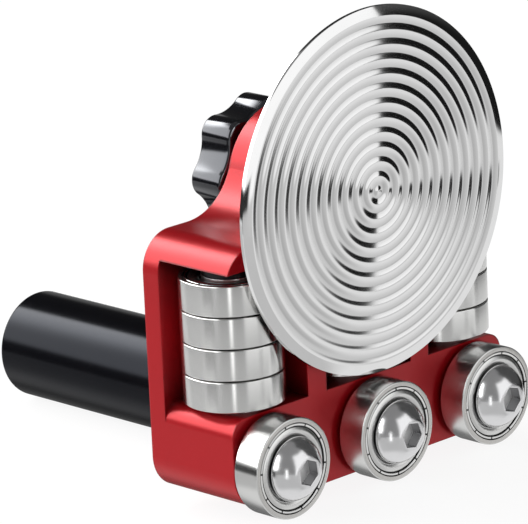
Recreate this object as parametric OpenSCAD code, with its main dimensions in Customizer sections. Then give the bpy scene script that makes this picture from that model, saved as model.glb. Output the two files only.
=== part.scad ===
// Sheet metal bender: a hand-held roller tool that folds the edge of a sheet.
// Frame: X along the roller row, Y from the front to the handle, Z up.
// The origin lies on the handle axis, in the back face of the body. Sizes in mm.

/* [Body] */
// distance from the outer rollers' axes to the ends of the body
end_w = 9.9; // [9:0.1:20]
// depth of the body from front face to back face
body_d = 25; // [22:0.5:34]
// height of the roller row axis above the handle axis
row_z = 1.1; // [0:0.1:4]
// depth of the body below the roller row axis
body_low = 9.4; // [8:0.1:10.5]
// height of the lower arm above the roller row axis
arm_up = 11.1; // [10:0.1:12]
// thickness of the shoulder over the pockets
shoulder_t = 4.9; // [4:0.1:8]
// outer corner radius of the body
corner_r = 8; // [4:0.5:8.5]
// rounding of the lower arm at the pocket mouths
arm_r = 4; // [2:0.5:6]
// radius of the round boss
boss_r = 15.3; // [13:0.1:20]
// fillet between shoulder and boss
boss_fillet = 14; // [8:0.5:18]
// half width of one pocket
pocket_hw = 13; // [12:0.1:14]
// inner corner radius of the pockets
pocket_r = 3; // [1:0.5:6]

/* [Bearings] */
// distance between neighbouring rollers
pitch = 31.6; // [29:0.1:36]
// outer diameter of a bearing
brg_d = 22; // [22:1:22]
// bore diameter of a bearing
brg_bore = 8; // [8:1:8]
// width of a bearing
brg_w = 7; // [7:1:7]
// pitch radius of the balls
ball_pr = 7.5; // [7.5:0.1:7.5]
// ball radius
ball_r = 1.95; // [1.95:0.01:1.95]
// balls in one bearing
ball_n = 7; // [7:1:7]
// how far the stack rollers stand proud of the front face
stack_proud = 2.05; // [1:0.05:3]
// thickness of the washer under a stack
shim_t = 1.1; // [0.5:0.1:2]
// thickness of the spacer over a stack
cap_t = 2.6; // [1:0.1:4]
// thickness of the spacer behind a front bearing
front_gap = 1; // [0.5:0.1:2]
// depth of a stack pin in the shoulder
pin_in = 2.8; // [1:0.1:3.2]

/* [Disc] */
// diameter of the disc
disc_d = 79.8; // [70:0.1:82]
// gap between the disc rim and the front rollers
disc_gap = 2.1; // [1:0.1:8]
// wall left between the pockets and the recess for the disc hub
hub_wall = 1.5; // [1:0.1:4]
// thickness of the disc at the rim
rim_t = 1; // [0.8:0.1:2]
// width of the front bevel
bevel_w = 2.2; // [1:0.1:4]
// depth of the front bevel
bevel_t = 0.5; // [0.2:0.1:1]
// gap for the sheet between disc and stack rollers
sheet_gap = 1.35; // [1.2:0.05:2]
// turned ripple rings on the disc
ring_n = 12; // [6:1:12]
// radius of the first ripple ring
ring_r0 = 1.45; // [1.4:0.05:2]
// distance between ripple rings
ring_step = 3.15; // [2.9:0.05:3.2]
// depth of a ripple ring
ring_t = 0.15; // [0.05:0.05:0.4]
// outer radius of the disc hub
hub_r = 7.8; // [7.4:0.1:8]
// length of the disc hub behind the plate
hub_l = 6.4; // [5:0.1:7]

/* [Knob and handle] */
// outer radius of the star knob
knob_r = 15.5; // [13:0.1:18]
// axial length of the star knob
knob_l = 9; // [8:0.5:16]
// gap between the body and the star knob
knob_gap = 2.5; // [1:0.1:5]
// lobes of the star knob
lobe_n = 7; // [6:1:8]
// angle of the first lobe
lobe_a = 82; // [0:1:90]
// handle diameter
handle_d = 24.4; // [20:0.1:32]
// handle length
handle_l = 81.8; // [70:0.1:140]
// chamfer at the free end of the handle
handle_c = 1; // [0.5:0.1:3]
// diameter of the handle stud
stud_d = 10; // [8:1:12]
// wall left between the handle stud's hole and the stack pins
stud_wall = 1.5; // [1:0.1:4]

/* [Clearances] */
// radial clearance of the fixed fits
fit_c = 0.03; // [0.02:0.01:0.06]
// radial clearance of the sliding and turning fits
run_c = 0.06; // [0.03:0.01:0.1]
// free clearance between pieces that move past each other
free_c = 0.3; // [0.2:0.05:0.5]

/* [Hidden] */
$fn = 96;
red = [0.62, 0.03, 0.05];
steel = [0.72, 0.73, 0.75];
dark_steel = [0.45, 0.46, 0.48];
bronze = [0.70, 0.50, 0.25];
black = [0.03, 0.03, 0.035];
eps = 0.01;
rows = [-1, 0, 1];
stack_n = 4;
front_y = -body_d;
low_z = row_z - body_low;
arm_z = row_z + arm_up;
roof_z = arm_z + shim_t + stack_n * brg_w + cap_t;
top_z = roof_z + shoulder_t;
half_l = pitch + end_w;
body_l = 2 * half_l;
brg_r = brg_d / 2;
pin_r = brg_bore / 2;
stack_y = front_y - stack_proud + brg_r;
wall_y = stack_y + brg_r + 0.4;
stack_z0 = arm_z + shim_t;
ring_w = brg_w - free_c;
inner_r = 6.05;
land_r = 9.1;
shield_r = 9.7;
shield_t = 0.35;
shield_in = 0.3;
shield_hole = inner_r + 0.25;
race_r = ball_r + 0.05;
disc_r = disc_d / 2;
disc_back = front_y - stack_proud - sheet_gap;
plate_t = rim_t + bevel_t;
disc_front = disc_back - plate_t;
spin_r = 4;
bush_r = 6.4;
head_l = 2;
floor_y = disc_back - 0.1;
head_y = floor_y + free_c;
bush_y = head_y + head_l + 0.2;
hub_y = disc_back + hub_l;
sink_r = hub_r + 0.4;
disc_z = max(row_z + brg_r + disc_gap + disc_r, roof_z + hub_wall + sink_r);
sink_y = hub_y + 1.4;
nut_sink_r = 9;
nut_sink = 3.4;
flange_t = 2;
flange_r = nut_sink_r - 0.2;
neck_r = 7;
snap_t = 1;
snap_y = -0.25 - snap_t;
snap_r = nut_sink_r + 0.5;
key_y = -12;
key_r = 1.95;
dog_r = 1.5;
key_in = 1.2;
lobe_r = 4;
core_r = knob_r - 2.1;
tail_y = knob_gap + knob_l - 3;
stud_hole = -stack_y - pin_r - fit_c - stud_wall;
stud_in = stud_hole - 0.5;
stud_out = 22;
screw_head_r = 7;
screw_head_h = 4.4;
screw_hex = 5;
screw_flat_r = 3.5;
screw_edge = 0.5;
pilot_r = pin_r - 0.7;
screw_tip = stack_y - pin_r - 0.3;
front_brg_y = front_y - front_gap;
ripple_w = 1.3;
ripple_r = (ripple_w * ripple_w + ring_t * ring_t) / (2 * ring_t);

// places children with their axis along Y, pointing to the front
module to_front(x, y, z) {
  translate([x, y, z]) rotate([90, 0, 0]) children();
}

// places children with their axis along Y, pointing to the back
module to_back(x, y, z) {
  translate([x, y, z]) rotate([-90, 0, 0]) children();
}

// outline of the body seen from the front
module body_outline() {
  reach = boss_r + boss_fillet - 0.05;
  fz = top_z + boss_fillet;
  fx = sqrt(pow(reach, 2) - pow(fz - disc_z, 2));
  k = (boss_r - 0.5) / reach;
  bz = disc_z + (fz - disc_z) * k;
  translate([-half_l + corner_r, low_z]) square([body_l - 2 * corner_r, top_z - low_z]);
  translate([-half_l, low_z + corner_r]) square([body_l, top_z - low_z - 2 * corner_r]);
  for (sx = [-1, 1]) {
    translate([sx * (half_l - corner_r), low_z + corner_r]) circle(r = corner_r);
    translate([sx * (half_l - corner_r), top_z - corner_r]) circle(r = corner_r);
  }
  translate([0, disc_z]) circle(r = boss_r);
  difference() {
    polygon([[-fx, top_z - 2], [fx, top_z - 2], [fx, top_z], [fx * k, bz],
             [-fx * k, bz], [-fx, top_z]]);
    for (sx = [-1, 1]) translate([sx * fx, fz]) circle(r = boss_fillet);
  }
}

// plan of one pocket, with rounded inner corners
module pocket_plan(x0, x1) {
  d = wall_y - front_y + 2;
  translate([x0, front_y - 2]) square([x1 - x0, d - pocket_r]);
  translate([x0 + pocket_r, front_y - 2]) square([x1 - x0 - 2 * pocket_r, d]);
  translate([x0 + pocket_r, wall_y - pocket_r]) circle(r = pocket_r);
  translate([x1 - pocket_r, wall_y - pocket_r]) circle(r = pocket_r);
}

// cuts the upper outer edge of the lower arm round
module arm_rounding(sx) {
  translate([0, wall_y, 0]) rotate([90, 0, 0]) linear_extrude(height = wall_y - front_y + 2)
    translate([sx * (half_l - arm_r), arm_z - arm_r]) difference() {
      translate([min(0, sx * (arm_r + 1)), 0]) square(arm_r + 1);
      circle(r = arm_r);
    }
}

module body() {
  color(red) difference() {
    rotate([90, 0, 0]) linear_extrude(height = body_d) body_outline();
    translate([0, 0, arm_z]) linear_extrude(height = roof_z - arm_z) {
      pocket_plan(-half_l - 10, -pitch + pocket_hw);
      pocket_plan(-pocket_hw, pocket_hw);
      pocket_plan(pitch - pocket_hw, half_l + 10);
    }
    arm_rounding(-1);
    arm_rounding(1);
    for (i = rows) {
      translate([i * pitch, stack_y, low_z - 1])
        cylinder(r = pin_r + fit_c, h = roof_z + pin_in - low_z + 1);
      to_front(i * pitch, screw_tip, row_z) cylinder(r = pin_r + fit_c, h = screw_tip - front_y + 1);
      to_front(i * pitch, stack_y, row_z) cylinder(r = pilot_r, h = stack_y - front_y + 1);
    }
    to_front(0, 1, disc_z) cylinder(r = spin_r + run_c, h = body_d + 2);
    to_front(0, sink_y, disc_z) cylinder(r = sink_r, h = sink_y - front_y + 1);
    to_front(0, 1, disc_z) cylinder(r = nut_sink_r, h = nut_sink + 1);
    to_front(0, snap_y + snap_t + 0.02, disc_z) cylinder(r = snap_r, h = snap_t + 0.04);
    translate([0, key_y, disc_z]) cylinder(r = key_r + fit_c, h = boss_r + 2);
    to_front(0, 1, 0) cylinder(r = stud_d / 2 + fit_c, h = stud_hole + 1);
  }
}

// outer ring of a bearing with its two shields, axis up from z = 0
module roller() {
  color(steel) rotate_extrude() difference() {
    union() {
      translate([land_r, 0]) square([brg_r - land_r, ring_w]);
      translate([shield_hole, shield_in]) square([shield_r - shield_hole, shield_t]);
      translate([shield_hole, ring_w - shield_in - shield_t])
        square([shield_r - shield_hole, shield_t]);
    }
    translate([ball_pr, ring_w / 2]) circle(r = race_r);
    translate([land_r - 1, -eps]) square([shield_r - land_r + 1, shield_in + eps]);
    translate([land_r - 1, ring_w - shield_in]) square([shield_r - land_r + 1, shield_in + eps]);
    translate([brg_r - 0.3, -eps]) polygon([[0, 0], [1, 0], [1, 1], [0.3 + eps, 0.3 + eps]]);
    translate([brg_r - 0.3, ring_w + eps]) polygon([[0, 0], [1, 0], [1, -1], [0.3 + eps, -0.3 - eps]]);
  }
}

// inner ring of a bearing, axis up from z = 0
module inner_ring() {
  rotate_extrude() difference() {
    translate([pin_r + fit_c, 0]) square([inner_r - pin_r - fit_c, brg_w - 0.02]);
    translate([ball_pr, brg_w / 2]) circle(r = race_r);
  }
}

// balls of a bearing in their cage, axis up from z = 0
module ball_set() {
  rotate_extrude() translate([ball_pr - 0.4, brg_w / 2 - 0.9]) square([0.8, 1.8]);
  for (k = [0 : ball_n - 1]) {
    rotate([0, 0, k * 360 / ball_n]) translate([ball_pr, 0, brg_w / 2]) sphere(r = ball_r);
  }
}

// flat ring around a pin or screw, axis up from z = 0
module collar(t) {
  rotate_extrude() translate([pin_r + fit_c, 0]) square([inner_r - 0.1 - pin_r - fit_c, t]);
}

module front_roller(i) {
  to_front(i * pitch, front_brg_y - free_c / 2, row_z) roller();
}

module front_roller_1() { front_roller(-1); }

module front_roller_2() { front_roller(0); }

module front_roller_3() { front_roller(1); }

module front_inner_rings() {
  color(steel) for (i = rows) to_front(i * pitch, front_brg_y, row_z) inner_ring();
}

module front_ball_sets() {
  color(dark_steel) for (i = rows) to_front(i * pitch, front_brg_y, row_z) ball_set();
}

module front_spacers() {
  color(dark_steel) for (i = rows) to_front(i * pitch, front_y, row_z) collar(front_gap);
}

// button-head screw, head up from z = 0 and shank down
module button_screw(shank) {
  rise = screw_head_h - screw_edge;
  drop = (pow(screw_head_r, 2) - pow(screw_flat_r, 2) - rise * rise) / (2 * rise);
  dome_r = sqrt(pow(screw_head_r, 2) + drop * drop);
  difference() {
    union() {
      rotate_extrude() intersection() {
        translate([0, screw_edge - drop]) circle(r = dome_r);
        square([screw_head_r, screw_head_h]);
      }
      translate([0, 0, -shank]) cylinder(r = pin_r, h = shank + eps);
    }
    translate([0, 0, screw_head_h - 2.6]) cylinder(r = screw_hex / sqrt(3), h = 4, $fn = 6);
  }
}

module front_screws() {
  head_face = front_brg_y - brg_w;
  color(dark_steel) for (i = rows) {
    to_front(i * pitch, head_face, row_z) button_screw(screw_tip - head_face);
  }
}

// one roller of a stack: row i, level k from the bottom
module stack_roller(i, k) {
  translate([i * pitch, stack_y, stack_z0 + k * brg_w + free_c / 2]) roller();
}

module stack_roller_a1() { stack_roller(-1, 0); }

module stack_roller_a2() { stack_roller(-1, 1); }

module stack_roller_a3() { stack_roller(-1, 2); }

module stack_roller_a4() { stack_roller(-1, 3); }

module stack_roller_b1() { stack_roller(0, 0); }

module stack_roller_b2() { stack_roller(0, 1); }

module stack_roller_b3() { stack_roller(0, 2); }

module stack_roller_b4() { stack_roller(0, 3); }

module stack_roller_c1() { stack_roller(1, 0); }

module stack_roller_c2() { stack_roller(1, 1); }

module stack_roller_c3() { stack_roller(1, 2); }

module stack_roller_c4() { stack_roller(1, 3); }

module stack_inner_rings() {
  color(steel) for (i = rows) {
    for (k = [0 : stack_n - 1]) {
      translate([i * pitch, stack_y, stack_z0 + k * brg_w]) inner_ring();
    }
  }
}

module stack_ball_sets() {
  color(dark_steel) for (i = rows) {
    for (k = [0 : stack_n - 1]) {
      translate([i * pitch, stack_y, stack_z0 + k * brg_w]) ball_set();
    }
  }
}

module axle_pins() {
  len = roof_z + pin_in - 0.2 - low_z - 0.3;
  color(dark_steel) for (i = rows) {
    translate([i * pitch, stack_y, low_z + 0.3]) cylinder(r = pin_r, h = len);
  }
}

module stack_shims() {
  color(steel) for (i = rows) translate([i * pitch, stack_y, arm_z]) collar(shim_t);
}

module stack_spacers() {
  color(steel) for (i = rows) translate([i * pitch, stack_y, roof_z - cap_t]) collar(cap_t);
}

// disc plate with ripple rings and a hub cup behind it
module disc() {
  color(steel) to_front(0, disc_back, disc_z) difference() {
    rotate_extrude() difference() {
      polygon([[0, -hub_l], [hub_r, -hub_l], [hub_r, 0], [disc_r, 0], [disc_r, rim_t],
               [disc_r - bevel_w, plate_t], [0, plate_t]]);
      for (k = [0 : ring_n - 1]) {
        translate([ring_r0 + k * ring_step, plate_t + ripple_r - ring_t]) circle(r = ripple_r);
      }
      translate([-1, -hub_l - 1]) square([bush_r + fit_c + 1, hub_l + 1 + disc_back - floor_y]);
    }
  }
}

module disc_bush() {
  color(bronze) to_back(0, bush_y, disc_z) rotate_extrude()
    translate([spin_r + run_c, 0]) square([bush_r - spin_r - run_c, hub_y - bush_y]);
}

// spindle with its head in the disc hub and its tail in the knob
module spindle() {
  color(dark_steel) difference() {
    union() {
      to_back(0, head_y, disc_z) cylinder(r = bush_r - free_c, h = head_l);
      to_back(0, head_y, disc_z) cylinder(r = spin_r, h = tail_y - head_y);
    }
    translate([-dog_r - 0.1, key_y - 3.6, disc_z + spin_r - key_in]) cube([2 * dog_r + 0.2, 7.2, 3]);
  }
}

module key_screw() {
  tip = disc_z + spin_r - key_in + 0.2;
  color(dark_steel) difference() {
    union() {
      translate([0, key_y, tip]) cylinder(r = dog_r, h = 3);
      translate([0, key_y, disc_z + spin_r + 0.4]) cylinder(r = key_r, h = boss_r - spin_r - 0.9);
    }
    translate([0, key_y, disc_z + boss_r - 2.5]) cylinder(r = 2 / sqrt(3), h = 4, $fn = 6);
  }
}

// flanged nut, held in the back of the boss and pressed into the knob
module knob_nut() {
  color(steel) to_back(0, -nut_sink + 0.1, disc_z) rotate_extrude() {
    translate([spin_r + run_c, 0]) square([flange_r - spin_r - run_c, flange_t]);
    translate([spin_r + run_c, 0]) square([neck_r - spin_r - run_c, tail_y + nut_sink + 0.9]);
  }
}

module nut_ring() {
  color(dark_steel) to_back(0, snap_y, disc_z) rotate_extrude()
    translate([neck_r + free_c, 0]) square([snap_r - fit_c - neck_r - free_c, snap_t]);
}

// profile of a turned piece with rounded rims, from the axis to radius r
module soft_profile(r, h, q0, q1) {
  square([r - max(q0, q1), h]);
  translate([0, q0]) square([r, h - q0 - q1]);
  translate([r - q0, q0]) circle(r = q0);
  translate([r - q1, h - q1]) circle(r = q1);
}

// outline of the star knob: round lobes joined by round valleys
module star() {
  a = knob_r - lobe_r;
  h = 180 / lobe_n;
  v = (a * a + core_r * core_r - 2 * a * core_r * cos(h) - lobe_r * lobe_r)
      / (2 * (lobe_r - core_r + a * cos(h)));
  d = core_r + v;
  c = (d * cos(h) - a) / (v + lobe_r);
  difference() {
    circle(r = sqrt(a * a + 2 * a * lobe_r * c + lobe_r * lobe_r));
    for (k = [0 : lobe_n - 1]) {
      rotate([0, 0, h + k * 2 * h]) translate([d - 0.05, 0]) circle(r = v);
    }
  }
  for (k = [0 : lobe_n - 1]) rotate([0, 0, k * 2 * h]) translate([a, 0]) circle(r = lobe_r);
}

// star knob with a blind bore for the nut
module knob() {
  color(black) to_back(0, knob_gap, disc_z) difference() {
    intersection() {
      rotate([0, 0, -lobe_a]) linear_extrude(height = knob_l) star();
      rotate_extrude() intersection() {
        soft_profile(knob_r + 0.2, knob_l, 1.2, 0.6);
        square([100, 100]);
      }
    }
    translate([0, 0, -1]) cylinder(r = neck_r + fit_c, h = tail_y - knob_gap + 2);
  }
}

module handle() {
  r = handle_d / 2;
  color(black) to_back(0, 0, 0) rotate_extrude() {
    polygon([[stud_d / 2 + fit_c, 0], [r, 0], [r, handle_l - handle_c], [r - handle_c, handle_l],
             [0, handle_l], [0, stud_out + 0.3], [stud_d / 2 + fit_c, stud_out + 0.3]]);
  }
}

module handle_stud() {
  color(dark_steel) to_back(0, -stud_in, 0) cylinder(r = stud_d / 2, h = stud_in + stud_out);
}

body();
front_roller_1();
front_roller_2();
front_roller_3();
front_inner_rings();
front_ball_sets();
front_screws();
front_spacers();
stack_roller_a1();
stack_roller_a2();
stack_roller_a3();
stack_roller_a4();
stack_roller_b1();
stack_roller_b2();
stack_roller_b3();
stack_roller_b4();
stack_roller_c1();
stack_roller_c2();
stack_roller_c3();
stack_roller_c4();
stack_inner_rings();
stack_ball_sets();
axle_pins();
stack_shims();
stack_spacers();
disc();
disc_bush();
spindle();
key_screw();
knob_nut();
nut_ring();
knob();
handle();
handle_stud();
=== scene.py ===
"""Looks of the sheet metal bender: finer turned pieces, materials, studio and camera."""

import math

import bpy
from mathutils import Euler, Matrix, Vector


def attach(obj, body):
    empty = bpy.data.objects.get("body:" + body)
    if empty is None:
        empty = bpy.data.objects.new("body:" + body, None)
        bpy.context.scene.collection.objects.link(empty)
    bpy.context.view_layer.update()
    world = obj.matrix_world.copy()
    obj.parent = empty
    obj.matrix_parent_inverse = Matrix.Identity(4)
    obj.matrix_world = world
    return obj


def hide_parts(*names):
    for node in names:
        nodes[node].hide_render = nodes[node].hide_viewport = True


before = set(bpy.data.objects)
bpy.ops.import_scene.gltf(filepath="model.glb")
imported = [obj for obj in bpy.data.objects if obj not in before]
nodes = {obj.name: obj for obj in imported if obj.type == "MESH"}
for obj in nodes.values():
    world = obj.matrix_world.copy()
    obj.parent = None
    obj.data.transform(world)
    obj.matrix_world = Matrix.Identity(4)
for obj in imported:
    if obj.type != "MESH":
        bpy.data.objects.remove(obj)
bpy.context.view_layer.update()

MM = 0.001

# Sizes of the part in mm, as in its source.
ROW_Z = 1.1  # axes of the front rollers
PITCH = 31.6  # between the rollers of the front row, and between the stacks
FRONT_Y = -25.0  # front face of the body
SPACER_T = 1.0  # behind a front bearing
FRONT_BRG_Y = FRONT_Y - SPACER_T
BRG_R = 11.0
BRG_W = 7.0
RING_W = 6.7  # outer ring of a bearing
RING_GAP = 0.15
STACK_Y = -16.05
STACK_Z0 = 13.3
STACK_COUNT = 4  # rollers in a stack
DISC_Z = 54.1
DISC_BACK = -28.4
DISC_R = 39.9
PLATE_T = 1.5
RIM_T = 1.0
BEVEL_W = 2.2
HUB_L = 6.4
HUB_R = 7.8
HUB_BORE_R = 6.43
KNOB_Y = 2.5
KNOB_L = 9.0
KNOB_R = 15.5
LOBES = 7
LOBE_R = 4.0
LOBE_A = 82.0  # degrees that the first lobe is turned by
CORE_R = KNOB_R - 2.1  # bottom of the valleys between lobes
HANDLE_R = 12.2
HANDLE_L = 81.8
STUD_HOLE_R = 5.03
HEAD_R = 7.0  # button head of a screw
HEAD_H = 4.4
HEAD_EDGE = 0.5  # straight edge under the dome
HEAD_FLAT_R = 3.5  # flat top around the socket
KEY_W = 5.0  # hex socket across flats
KEY_DEEP = 2.6

# Ripple rings of the disc: count, first groove, step, depth and lean of the wave
RIPPLES, RIPPLE_R0, RIPPLE_STEP, RIPPLE_T, RIPPLE_LEAN = 12, 1.45, 3.15, 0.068, 0.04
RIPPLE_END = RIPPLE_R0 + (RIPPLES - 0.5) * RIPPLE_STEP

TO_FRONT = Euler((math.radians(90), 0, 0)).to_matrix().to_4x4()
TO_BACK = Euler((math.radians(-90), 0, 0)).to_matrix().to_4x4()
UP = Matrix.Identity(4)


def place(turn, x, y, z):
    """Matrix that puts a piece, built with its axis along Z, at a point given in mm."""
    return Matrix.Translation(Vector((x, y, z)) * MM) @ turn


def turned(degrees):
    """Matrix of a turn about a piece's own axis."""
    return Matrix.Rotation(math.radians(degrees), 4, "Z")


# Materials


class Graph:
    """A node tree with short ways to add nodes."""

    def __init__(self, tree):
        self.tree = tree
        self.link = tree.links.new
        tree.nodes.clear()

    def add(self, kind, **settings):
        node = self.tree.nodes.new(kind)
        for key, value in settings.items():
            setattr(node, key, value)
        return node

    def math(self, operation, *values):
        """Math node fed with numbers or other nodes' outputs."""
        node = self.add("ShaderNodeMath", operation=operation)
        for socket, value in zip(node.inputs, values):
            if isinstance(value, (int, float)):
                socket.default_value = value
            else:
                self.link(value, socket)
        return node.outputs[0]


class Shader(Graph):
    """A material with a Principled shader."""

    def __init__(self, name):
        self.material = bpy.data.materials.new(name)
        self.material.use_nodes = True
        super().__init__(self.material.node_tree)
        self.out = self.add("ShaderNodeOutputMaterial")
        self.bsdf = self.add("ShaderNodeBsdfPrincipled")
        self.link(self.bsdf.outputs["BSDF"], self.out.inputs["Surface"])
        self.coords = self.add("ShaderNodeTexCoord").outputs["Object"]

    def set(self, **values):
        """Constants on the shader's own sockets."""
        for key, value in values.items():
            self.bsdf.inputs[key.replace("_", " ")].default_value = value

    def feed(self, value, name):
        self.link(value, self.bsdf.inputs[name.replace("_", " ")])

    def split(self):
        node = self.add("ShaderNodeSeparateXYZ")
        self.link(self.coords, node.inputs["Vector"])
        return node.outputs

    def noise(self, scale, detail, vector=None):
        node = self.add("ShaderNodeTexNoise")
        node.inputs["Scale"].default_value = scale
        node.inputs["Detail"].default_value = detail
        self.link(vector or self.coords, node.inputs["Vector"])
        return node.outputs["Fac"]

    def span(self, value, low, high):
        node = self.add("ShaderNodeMapRange")
        self.link(value, node.inputs["Value"])
        node.inputs["To Min"].default_value = low
        node.inputs["To Max"].default_value = high
        return node.outputs["Result"]

    def between(self, value, color_a, color_b):
        """Mix of two colours, each a tuple or another node's output."""
        node = self.add("ShaderNodeMix", data_type="RGBA")
        self.link(value, node.inputs["Factor"])
        for socket, color in (("A", color_a), ("B", color_b)):
            if isinstance(color, tuple):
                node.inputs[socket].default_value = (*color, 1)
            else:
                self.link(color, node.inputs[socket])
        return node.outputs["Result"]

    def bump(self, height, distance, strength, normal=None):
        node = self.add("ShaderNodeBump")
        node.inputs["Distance"].default_value = distance
        node.inputs["Strength"].default_value = strength
        self.link(height, node.inputs["Height"])
        if normal is not None:
            self.link(normal, node.inputs["Normal"])
        return node.outputs["Normal"]

    def soft_edges(self, radius):
        node = self.add("ShaderNodeBevel", samples=8)
        node.inputs["Radius"].default_value = radius
        return node.outputs["Normal"]


def grey(level):
    return (level, level, level)


def red_anodised():
    """Dyed satin aluminium, with painted shade darkening it deep in the body's own pockets."""
    s = Shader("red_anodised")
    s.set(Metallic=0.5, Specular_IOR_Level=0.0, Coat_Weight=0.75, Coat_IOR=1.5, Coat_Roughness=0.3)
    pocket_shade_reach, pocket_shade_contrast = 18 * MM, 2.6
    # painted shade: ambient occlusion of the body alone darkens the base colour towards near black
    # in its pockets
    painted_pocket_shade = s.add("ShaderNodeAmbientOcclusion", samples=6, only_local=True)
    painted_pocket_shade.inputs["Distance"].default_value = pocket_shade_reach
    pocket_shade_free = s.math("POWER", painted_pocket_shade.outputs["AO"], pocket_shade_contrast)
    dye = s.between(s.noise(90, 4), (0.42, 0.003, 0.008), (0.48, 0.004, 0.010))
    s.feed(s.between(pocket_shade_free, (0.03, 0.0005, 0.001), dye), "Base_Color")
    grain = s.noise(5200, 2)
    s.feed(s.span(grain, 0.27, 0.37), "Roughness")
    s.feed(s.bump(grain, 0.02 * MM, 0.35, s.soft_edges(0.7 * MM)), "Normal")
    return s.material


def groove_shade_mask(s, radius, z):
    """Mask of painted shade on the disc's front: 1 at the bottom of the grooves, 0 on their crests
    and elsewhere.
    """
    from_first = s.math("SUBTRACT", radius, RIPPLE_R0 * MM)
    turn = s.math("MULTIPLY", from_first, 2 * math.pi / (RIPPLE_STEP * MM))
    low = s.math("ADD", s.math("MULTIPLY", s.math("COSINE", turn), 0.5), 0.5)
    inside = s.math("LESS_THAN", radius, RIPPLE_END * MM)
    front = s.math("GREATER_THAN", z, RIM_T * MM)
    return s.math("MULTIPLY", low, s.math("MULTIPLY", inside, front))


def turned_steel(
    name, color_a, color_b, rough, lines=5000.0, depth=0.004 * MM, drawn_out=0.0, groove_shade_color=None
):
    """Steel with fine lines around its piece's Z axis, which can draw reflections out along it."""
    s = Shader(name)
    s.set(Metallic=1.0, Anisotropic=drawn_out, Anisotropic_Rotation=0.25)
    around = s.add("ShaderNodeTangent", direction_type="RADIAL", axis="Z")
    s.feed(around.outputs[0], "Tangent")
    x, y, z = s.split()
    ring = s.add("ShaderNodeCombineXYZ")
    radius = s.math("SQRT", s.math("ADD", s.math("MULTIPLY", x, x), s.math("MULTIPLY", y, y)))
    s.link(radius, ring.inputs[0])
    s.link(z, ring.inputs[1])
    fine = s.noise(lines, 2, vector=ring.outputs[0])
    color = s.between(s.noise(240, 3), color_a, color_b)
    # painted shade: the bottoms of the ripple grooves get a darker colour
    if groove_shade_color:
        color = s.between(groove_shade_mask(s, radius, z), color, groove_shade_color)
    s.feed(color, "Base_Color")
    s.feed(s.span(fine, rough * 0.75, rough * 1.25), "Roughness")
    s.feed(s.bump(fine, depth, 0.5), "Normal")
    return s.material


def plain_steel(name, color_a, color_b, rough):
    s = Shader(name)
    s.set(Metallic=1.0)
    grain = s.noise(1800, 4)
    s.feed(s.between(s.noise(300, 3), color_a, color_b), "Base_Color")
    s.feed(s.span(grain, rough * 0.8, rough * 1.2), "Roughness")
    s.feed(s.bump(grain, 0.006 * MM, 0.5, s.soft_edges(0.2 * MM)), "Normal")
    return s.material


def shield_rim():
    """Rolled shield rim with dark slits around it."""
    slits, shift, half_width = 10, 20.35, 0.034  # the last two in steps from slit to slit
    s = Shader("shield_rim")
    x, y, _ = s.split()
    turn = s.math("MULTIPLY", s.math("ARCTAN2", y, x), slits / (2 * math.pi))
    past = s.math("FRACT", s.math("ADD", turn, shift))
    near = s.math("ABSOLUTE", s.math("SUBTRACT", past, 0.5))
    slit = s.math("LESS_THAN", near, half_width)
    s.feed(s.between(slit, (0.86, 0.86, 0.85), grey(0.01)), "Base_Color")
    s.feed(s.span(s.noise(900, 3), 0.12, 0.22), "Roughness")
    s.feed(s.math("SUBTRACT", 1.0, slit), "Metallic")
    return s.material


def gloss_black(name, rough, ior, coat, tint):
    s = Shader(name)
    s.set(IOR=ior, Specular_Tint=(*tint, 1.0), Coat_Weight=coat, Coat_IOR=1.6, Coat_Roughness=0.07)
    s.feed(s.between(s.noise(60, 4), (0.002, 0.002, 0.003), (0.004, 0.004, 0.005)), "Base_Color")
    s.feed(s.span(s.noise(700, 4), rough * 0.8, rough * 1.3), "Roughness")
    s.feed(s.bump(s.noise(2600, 2), 0.004 * MM, 0.4), "Normal")
    return s.material


RED = red_anodised()
ROLLER = turned_steel(
    "roller_steel", (0.74, 0.74, 0.73), (0.80, 0.80, 0.79), 0.22, drawn_out=0.85
)
FACE = turned_steel("ring_face_steel", (0.62, 0.61, 0.59), (0.70, 0.69, 0.67), 0.26)
SHIELD = turned_steel("shield_steel", (0.74, 0.74, 0.73), (0.82, 0.82, 0.81), 0.24)
RIM = shield_rim()
SEAM = plain_steel("seam_steel", grey(0.05), grey(0.09), 0.45)
# polished disc steel, with painted shade darkening its ripple grooves
DISC = turned_steel(
    "disc_steel",
    grey(0.86),
    grey(0.92),
    rough=0.05,
    lines=3800.0,
    depth=0.0005 * MM,
    groove_shade_color=grey(0.69),
)
SCREW = plain_steel("screw_steel", (0.78, 0.78, 0.79), (0.86, 0.86, 0.87), 0.19)
# painted light and shade in the hex socket: its floor lighter and rougher than the head, its walls
# darker
LIT_SOCKET_FLOOR = plain_steel("lit_socket_floor_steel", grey(0.84), grey(0.9), 0.6)
SHADED_SOCKET = plain_steel("shaded_socket_steel", (0.36, 0.36, 0.37), (0.44, 0.44, 0.45), 0.16)
PLAIN = plain_steel("plain_steel", (0.42, 0.42, 0.43), (0.52, 0.52, 0.53), 0.3)
# painted shade: near-black steel for parts that sit in shaded gaps
SHADE_BLACK = plain_steel("shade_black_steel", (0.02, 0.02, 0.022), (0.035, 0.035, 0.037), 0.4)
BRONZE = plain_steel("bush_bronze", (0.52, 0.31, 0.12), (0.62, 0.39, 0.16), 0.32)
KNOB = gloss_black("knob_plastic", rough=0.16, ior=1.45, coat=1.0, tint=(0.75, 0.82, 1.0))
HANDLE = gloss_black("handle_plastic", rough=0.16, ior=1.23, coat=0.0, tint=(0.72, 0.80, 1.0))

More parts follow.
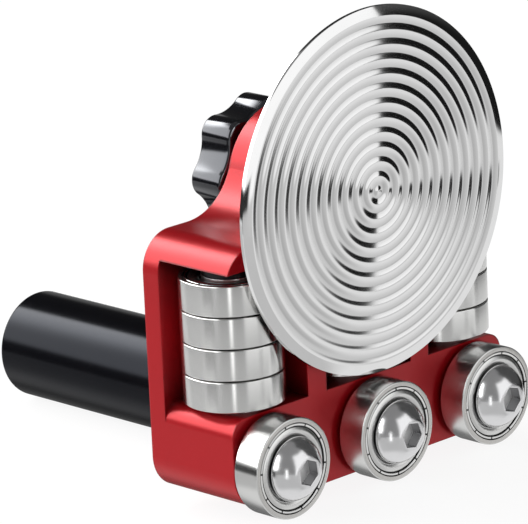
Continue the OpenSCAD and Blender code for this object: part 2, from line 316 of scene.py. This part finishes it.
NODE_MATERIAL = {
    "body": RED,
    "disc_bush": BRONZE,
    "knob": KNOB,
    "handle": HANDLE,
    # the stack spacers and axle pins are painted near black, standing in for the shade they sit in
    "stack_spacers": SHADE_BLACK,
    "axle_pins": SHADE_BLACK,
}
for name, node in nodes.items():
    node.data.materials.clear()
    node.data.materials.append(NODE_MATERIAL.get(name, PLAIN))
    node.data.polygons.foreach_set("use_smooth", [True] * len(node.data.polygons))


# Finer pieces

SHARP_ANGLE = 34  # degrees between faces, past which an edge is sharp


def add_object(name, mesh, matrix):
    obj = bpy.data.objects.new(name, mesh)
    bpy.context.scene.collection.objects.link(obj)
    obj.matrix_world = matrix
    return obj


def add_mesh(name, points, faces, matrix, materials, picks=None):
    """Smooth mesh, sharp where faces meet steeply. picks gives each face its material."""
    mesh = bpy.data.meshes.new(name)
    mesh.from_pydata(points, [], faces)
    for material in materials:
        mesh.materials.append(material)
    if picks:
        mesh.polygons.foreach_set("material_index", picks)
    mesh.polygons.foreach_set("use_smooth", [True] * len(mesh.polygons))
    mesh.set_sharp_from_angle(angle=math.radians(SHARP_ANGLE))
    mesh.update()
    return add_object(name, mesh, matrix)


def ring_points(radius_at, height, steps):
    """Points around Z at a height in mm; radius_at gives the radius in mm at an angle."""
    made = []
    for k in range(steps):
        a = 2 * math.pi * k / steps
        r = radius_at(a)
        made.append((r * math.cos(a) * MM, r * math.sin(a) * MM, height * MM))
    return made


def lathe(name, profile, matrix, materials, picks=None, steps=192):
    """Turns a profile of (radius, height) in mm around Z. picks gives its edges their materials."""
    points, faces, face_picks, rings = [], [], [], []
    for r, h in profile:
        count = steps if r > 0 else 1
        rings.append((len(points), count))
        points += ring_points(lambda a: r, h, steps)[:count]
    for e in range(len(profile) - 1):
        (a, na), (b, nb) = rings[e], rings[e + 1]
        for k in range(steps):
            q = (k + 1) % steps
            corners = [a + k % na, a + q % na, b + q % nb, b + k % nb]
            face = list(dict.fromkeys(corners))
            if len(face) > 2:
                faces.append(face)
                face_picks.append(picks[e] if picks else 0)
    return add_mesh(name, points, faces, matrix, materials, face_picks)


def bridge(levels, n):
    """Faces between neighbouring rings of n points each."""
    faces = []
    for low in range(0, (levels - 1) * n, n):
        for k in range(n):
            q = (k + 1) % n
            faces.append((low + k, low + q, low + n + q, low + n + k))
    return faces


def arc(cr, ch, radius, start, end, count=6):
    """Points of a rounded corner, angles in degrees from the outward direction."""
    made = []
    for k in range(count + 1):
        a = math.radians(start + (end - start) * k / count)
        made.append((cr + radius * math.cos(a), ch + radius * math.sin(a)))
    return made


# Disc with its turned ripple rings
RIPPLE_SAMPLES = 360
HUB_EDGE, REAR_EDGE = 0.3, 0.15
RIM_EDGE_R, RIM_EDGE_T = 0.03, 0.06  # front edge of the rim, along the radius and the axis
disc_profile = [(HUB_BORE_R, -HUB_L), (HUB_R - HUB_EDGE, -HUB_L)]
disc_profile += [(HUB_R, -HUB_L + HUB_EDGE), (HUB_R, 0.0)]
disc_profile += [(DISC_R - REAR_EDGE, 0.0), (DISC_R, REAR_EDGE), (DISC_R, RIM_T - RIM_EDGE_T)]
disc_profile += [(DISC_R - RIM_EDGE_R, RIM_T), (DISC_R - BEVEL_W, PLATE_T)]
for k in range(RIPPLE_SAMPLES + 1):
    r = RIPPLE_END * (1 - k / RIPPLE_SAMPLES)
    turn = 2 * math.pi * (r - RIPPLE_R0) / RIPPLE_STEP
    wave = 0.5 + 0.5 * math.cos(turn) - RIPPLE_LEAN * math.sin(2 * turn)
    disc_profile.append((r, PLATE_T - RIPPLE_T * wave))
disc_at = place(TO_FRONT, 0, DISC_BACK, DISC_Z)
disc = lathe("disc_polished", disc_profile, disc_at, [DISC], steps=360)
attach(disc, "disc")
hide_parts("disc")


# Rollers: outer ring, seam, rolled shield rim and dished shield on both faces
ROLLER_MATERIALS = [ROLLER, FACE, RIM, SEAM, SHIELD]
ON_TREAD, ON_FACE, ON_RIM, ON_SEAM, ON_SHIELD = range(5)
CHAMFER = 0.25
# (radius, depth under the face, material) from the ring's face to the dished shield
FACE_STEPS = [(9.95, 0.0, ON_FACE), (9.88, 0.06, ON_FACE)]
FACE_STEPS += [(9.86, 0.45, ON_SEAM), (9.74, 0.45, ON_SEAM)]
FACE_STEPS += [(9.72, 0.15, ON_RIM), (9.64, 0.05, ON_RIM)]
FACE_STEPS += [(9.28, 0.05, ON_RIM), (9.2, 0.15, ON_RIM)]
FACE_STEPS += [(9.17, 0.6, ON_SEAM), (8.96, 0.62, ON_SEAM)]
# dished shield: points from the outside in, then the radius, depth and curve of its crest
DISH_POINTS, DISH_R0, DISH_STEP = 15, 8.88, 0.18
DISH_TOP_R, DISH_TOP, DISH_CURVE = 8.05, 0.1, 0.28


def roller_face():
    """(radius, height, material) along half a roller's profile, from tread to shield's hole."""
    corner = arc(BRG_R - CHAMFER, RING_W - CHAMFER, CHAMFER, 0, 90)
    made = [(r, h, ON_TREAD) for r, h in corner]
    made += [(r, RING_W - depth, on) for r, depth, on in FACE_STEPS]
    for k in range(DISH_POINTS):
        r = DISH_R0 - DISH_STEP * k
        made.append((r, RING_W - DISH_TOP - DISH_CURVE * (r - DISH_TOP_R) ** 2, ON_SHIELD))
    return made


upper = roller_face()
lower = [(r, RING_W - h, on) for r, h, on in upper]
chain = lower[::-1] + upper
profile = [(r, h) for r, h, _ in chain]
picks = [max(here[2], there[2]) for here, there in zip(chain, chain[1:])]
roller = lathe("roller_pattern", profile, UP, ROLLER_MATERIALS, picks)
roller_mesh = roller.data
bpy.data.objects.remove(roller)

SHIELD_TURN = 24  # degrees that each front roller is turned by past the one before
for k, i in ((1, -1), (2, 0), (3, 1)):
    at = place(TO_FRONT, i * PITCH, FRONT_BRG_Y - RING_GAP, ROW_Z)
    obj = add_object(f"front_roller_{k}_polished", roller_mesh, at @ turned(SHIELD_TURN * k))
    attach(obj, f"front_roller_{k}")
    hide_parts(f"front_roller_{k}")
for row, i in (("a", -1), ("b", 0), ("c", 1)):
    for k in range(STACK_COUNT):
        name = f"stack_roller_{row}{k + 1}"
        at = place(UP, i * PITCH, STACK_Y, STACK_Z0 + k * BRG_W + RING_GAP)
        obj = add_object(f"{name}_polished", roller_mesh, at)
        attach(obj, name)
        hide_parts(name)


# Handle
HANDLE_FOOT, HANDLE_EDGE = 0.3, 1.0
handle_profile = [(STUD_HOLE_R, 0.0), (HANDLE_R - HANDLE_FOOT, 0.0), (HANDLE_R, HANDLE_FOOT)]
handle_profile += arc(HANDLE_R - HANDLE_EDGE, HANDLE_L - HANDLE_EDGE, HANDLE_EDGE, 0, 90)
handle_profile += [(0.0, HANDLE_L)]
handle = lathe("handle_gloss", handle_profile, place(TO_BACK, 0, 0, 0), [HANDLE])
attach(handle, "frame")
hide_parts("handle")


# Star knob with rounded rims
LOBE_POINTS, VALLEY_POINTS = 24, 20
KNOB_FRONT_EDGE, KNOB_REAR_EDGE = 1.2, 0.6


def star_outline():
    """Points and outward normals of the knob's outline in mm: lobes joined by tangent valleys."""
    half = math.pi / LOBES
    lobe_at = KNOB_R - LOBE_R
    valley_r = (
        lobe_at**2 + CORE_R**2 - 2 * lobe_at * CORE_R * math.cos(half) - LOBE_R**2
    ) / (2 * (LOBE_R - CORE_R + lobe_at * math.cos(half)))
    valley_at = CORE_R + valley_r
    touch = math.atan2(valley_at * math.sin(half), valley_at * math.cos(half) - lobe_at)
    arcs = []
    for lobe in range(LOBES):
        base = 2 * half * lobe
        for k in range(LOBE_POINTS):
            t = -touch + 2 * touch * k / LOBE_POINTS
            arcs.append((base, lobe_at, LOBE_R, t, 1))
        for k in range(VALLEY_POINTS):
            t = touch - 2 * (touch - half) * k / VALLEY_POINTS
            arcs.append((base + half, valley_at, valley_r, math.pi + t - half, -1))
    made = []
    for base, centre, radius, t, outward in arcs:
        c, s = math.cos(base), math.sin(base)
        nx, ny = math.cos(t), math.sin(t)
        px, py = centre + radius * nx, radius * ny
        normal = (outward * (nx * c - ny * s), outward * (nx * s + ny * c))
        made.append(((px * c - py * s, px * s + py * c), normal))
    return made


def knob_levels():
    """(height, inset) of the knob's rounded rims in mm."""
    turns = [math.radians(a) for a in (0, 22, 45, 67, 90)]
    e = KNOB_FRONT_EDGE
    front = [(e - e * math.sin(a), e - e * math.cos(a)) for a in reversed(turns)]
    e = KNOB_REAR_EDGE
    rear = [(KNOB_L - e + e * math.sin(a), e - e * math.cos(a)) for a in turns]
    return front + rear


outline = star_outline()
levels = knob_levels()
n = len(outline)
points = []
for h, inset in levels:
    for (px, py), (nx, ny) in outline:
        points.append(((px - nx * inset) * MM, (py - ny * inset) * MM, h * MM))
faces = bridge(len(levels), n)
faces.append(tuple(reversed(range(n))))
faces.append(tuple(range((len(levels) - 1) * n, len(levels) * n)))
knob_at = place(TO_BACK, 0, KNOB_Y, DISC_Z) @ turned(-LOBE_A)
knob = add_mesh("knob_gloss", points, faces, knob_at, [KNOB])
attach(knob, "knob")
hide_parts("knob")


# Button-head screws
HEAD_STEPS, DOME_RINGS = 192, 21
HEAD_CHAMFER = 0.1
DOME_STOP = 0.06  # how far below the flat top the dome ends
SOCKET_CHAMFER, SOCKET_GROW = 0.14, 1.05
ON_HEAD, ON_WALL, ON_FLOOR = range(3)
# place in the row, and degrees that the socket is turned by
SCREW_TURNS = ((-1, 8), (0, 20), (1, 14))


def hex_radius(a):
    """Distance from the axis to the socket's wall at an angle."""
    side = (a + math.pi / 6) % (math.pi / 3) - math.pi / 6
    return KEY_W / 2 / math.cos(side)


def hex_screw_head():
    """Points, faces and material picks of a domed head with a hex socket, its seat at z = 0."""
    rise = HEAD_H - HEAD_EDGE
    drop = (HEAD_R**2 - HEAD_FLAT_R**2 - rise**2) / (2 * rise)
    dome = math.hypot(HEAD_R, drop)
    rings = [(HEAD_R - HEAD_CHAMFER, 0.0), (HEAD_R, HEAD_CHAMFER)]
    rings.append((HEAD_R, HEAD_EDGE - HEAD_CHAMFER))
    for k in range(1, DOME_RINGS + 1):
        z = HEAD_EDGE + (rise - DOME_STOP) * k / DOME_RINGS
        rings.append((math.sqrt(dome**2 - (z - HEAD_EDGE + drop) ** 2), z))
    rings.append((HEAD_FLAT_R - HEAD_CHAMFER, HEAD_H))
    points = []
    for r, z in rings:
        points += ring_points(lambda a: r, z, HEAD_STEPS)
    walls = [(HEAD_H, SOCKET_GROW), (HEAD_H - SOCKET_CHAMFER, 1.0), (HEAD_H - KEY_DEEP, 1.0)]
    for z, grow in walls:
        points += ring_points(lambda a: hex_radius(a) * grow, z, HEAD_STEPS)
    count = len(rings) + len(walls)
    faces = bridge(count, HEAD_STEPS)
    faces.append(tuple(range((count - 1) * HEAD_STEPS, count * HEAD_STEPS)))
    picks = [ON_HEAD] * (HEAD_STEPS * (count - 2)) + [ON_WALL] * HEAD_STEPS + [ON_FLOOR]
    return points, faces, picks


head_points, head_faces, head_picks = hex_screw_head()
# the socket's walls carry painted shade and its floor painted light
head_materials = [SCREW, SHADED_SOCKET, LIT_SOCKET_FLOOR]
for k, (i, degrees) in enumerate(SCREW_TURNS, 1):
    at = place(TO_FRONT, i * PITCH, FRONT_BRG_Y - BRG_W, ROW_Z) @ turned(degrees)
    head = add_mesh(f"screw_head_{k}", head_points, head_faces, at, head_materials, head_picks)
    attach(head, "frame")
    if k == 1:
        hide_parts("front_screws")


# Studio: pale floor, and surroundings whose bright and dark sides the polished metal mirrors


class Sky(Graph):
    """Surroundings as a brightness over azimuth and elevation in degrees."""

    def __init__(self, tree):
        super().__init__(tree)
        parts = self.add("ShaderNodeSeparateXYZ")
        self.link(self.add("ShaderNodeTexCoord").outputs["Generated"], parts.inputs[0])
        x, y, z = parts.outputs
        to_degrees = 180 / math.pi
        self.az = self.math("MULTIPLY", self.math("ARCTAN2", y, x), to_degrees)
        self.el = self.math("MULTIPLY", self.math("ARCSINE", z), to_degrees)

    def step(self, value, edge, soft):
        node = self.add("ShaderNodeMapRange", interpolation_type="SMOOTHSTEP")
        self.link(value, node.inputs["Value"])
        node.inputs["From Min"].default_value = edge - soft / 2
        node.inputs["From Max"].default_value = edge + soft / 2
        return node.outputs["Result"]

    def band(self, value, low, high, soft_low, soft_high):
        inside = self.step(value, low, soft_low)
        past = self.math("SUBTRACT", 1.0, self.step(value, high, soft_high))
        return self.math("MULTIPLY", inside, past)

    def patch(self, base, level, az, el, soft_az, soft_el):
        """base with a patch of another brightness laid over it."""
        across = self.band(self.az, *az, *soft_az)
        mask = self.math("MULTIPLY", across, self.band(self.el, *el, *soft_el))
        kept = self.math("MULTIPLY", base, self.math("SUBTRACT", 1.0, mask))
        return self.math("ADD", kept, self.math("MULTIPLY", mask, level))


TABLE, ABOVE, HORIZON = 0.8, 0.24, -9  # brightness of the table and over it, and where it ends
BOX_END, BOX_FOOT = -44.8, -13.1  # right end and foot of the soft box in front

# brightness, azimuths, elevations, and how soft the edges of both are; later ones lie on top.
# An azimuth of 181 reaches past the seam at 180.
PATCHES = (
    # table, a little darker in front and on the left, and dark behind on the right
    (0.55, (-178, -47), (-60, -10), (16, 5), (20, 2)),
    (0.6, (-66, BOX_END), (-15.6, BOX_FOOT), (8, 0.6), (2.5, 1)),
    (0.15, (44, 92), (-60, -19), (10, 30), (20, 8)),
    (0.55, (108, 158), (-32, -12), (16, 16), (12, 3)),
    # soft box behind on the left, brightest at its top, with the dark gap under it
    (3.4, (84, 181), (6, 50), (8, 1), (8, 10)),
    (3.4, (-181, -165), (6, 50), (1, 14), (8, 10)),
    (9.0, (84, 116), (30, 50), (8, 24), (24, 8)),
    (0.03, (100, 181), (-10, 5), (20, 1), (4, 6)),
    (0.03, (162, 181), (-17, 5), (10, 1), (2, 6)),
    (0.03, (-181, -172), (-17, 5), (1, 10), (2, 6)),
    # soft box in front, ending sharply at the right, with a dark spot at its foot
    (1.05, (-106, BOX_END), (BOX_FOOT, 48), (8, 0.6), (1, 8)),
    (0.02, (-75, -65), (-13.4, -10.4), (4, 4), (0.8, 1)),
    # dark side of the studio
    (0.01, (BOX_END, 30), (BOX_FOOT, 62), (0.6, 10), (0.8, 16)),
    (0.07, (BOX_END, 30), (0, 62), (0.6, 10), (10, 16)),
    (0.03, (24, 84), (9, 62), (10, 6), (8, 16)),
    (0.01, (-40.5, -28), (-16.6, -15.3), (2, 6), (0.5, 0.5)),
    # narrow lamp that draws a bright line on the rollers
    (1.8, (-138.5, -132), (-21, 8), (3, 3), (6, 8)),
)

world = bpy.data.worlds.new("studio")
world.use_nodes = True
bpy.context.scene.world = world
sky = Sky(world.node_tree)
over_table = sky.step(sky.el, HORIZON, soft=2)
light = sky.math("ADD", TABLE, sky.math("MULTIPLY", over_table, ABOVE - TABLE))
for patch in PATCHES:
    light = sky.patch(light, *patch)
# the camera sees plain white instead
shown = sky.add("ShaderNodeMix", data_type="FLOAT")
sky.link(sky.add("ShaderNodeLightPath").outputs["Is Camera Ray"], shown.inputs["Factor"])
sky.link(light, shown.inputs["A"])
shown.inputs["B"].default_value = 1.0
back = sky.add("ShaderNodeBackground")
sky.link(shown.outputs["Result"], back.inputs["Color"])
sky.link(back.outputs[0], sky.add("ShaderNodeOutputWorld").inputs["Surface"])

FLOOR_SIZE, FLOOR_GAP = 6, 0.0001  # in metres
FLOOR_GLOW, GLOW_SHARE = 1.05, 0.85  # the rest of the floor's colour takes the shadow
bpy.ops.mesh.primitive_plane_add(size=FLOOR_SIZE, location=(0, 0, -HANDLE_R * MM - FLOOR_GAP))
floor = bpy.context.object
floor.name = "floor"
floor.visible_glossy = False  # the table of the surroundings is what metal mirrors
pale = Shader("floor_pale")
pale.set(Roughness=0.9)
pale.feed(pale.between(pale.noise(3, 2), grey(0.86), grey(0.9)), "Base_Color")
glow = pale.add("ShaderNodeEmission")
glow.inputs["Strength"].default_value = FLOOR_GLOW
lit = pale.add("ShaderNodeMixShader")
seen = pale.add("ShaderNodeLightPath").outputs["Is Camera Ray"]
pale.link(pale.math("MULTIPLY", seen, GLOW_SHARE), lit.inputs["Fac"])
pale.link(pale.bsdf.outputs[0], lit.inputs[1])
pale.link(glow.outputs[0], lit.inputs[2])
pale.link(lit.outputs[0], pale.out.inputs["Surface"])
floor.data.materials.append(pale.material)


# Camera, from the fit of the photo: place in metres, turn in degrees, lens and sensor in mm
CAMERA_AT = (-0.69460, -0.71047, 0.31695)
CAMERA_TURN = (74.0631, 2.5497, -44.8447)
LENS, SENSOR = 323.673, 36

camera_data = bpy.data.cameras.new("camera")
camera_data.sensor_width = SENSOR
camera_data.lens = LENS
camera_data.clip_start = 0.05
camera_data.clip_end = 50
camera = add_object("camera", camera_data, UP)
camera.location = CAMERA_AT
camera.rotation_euler = Euler([math.radians(a) for a in CAMERA_TURN])
bpy.context.scene.camera = camera
bpy.context.scene.view_settings.view_transform = "Standard"
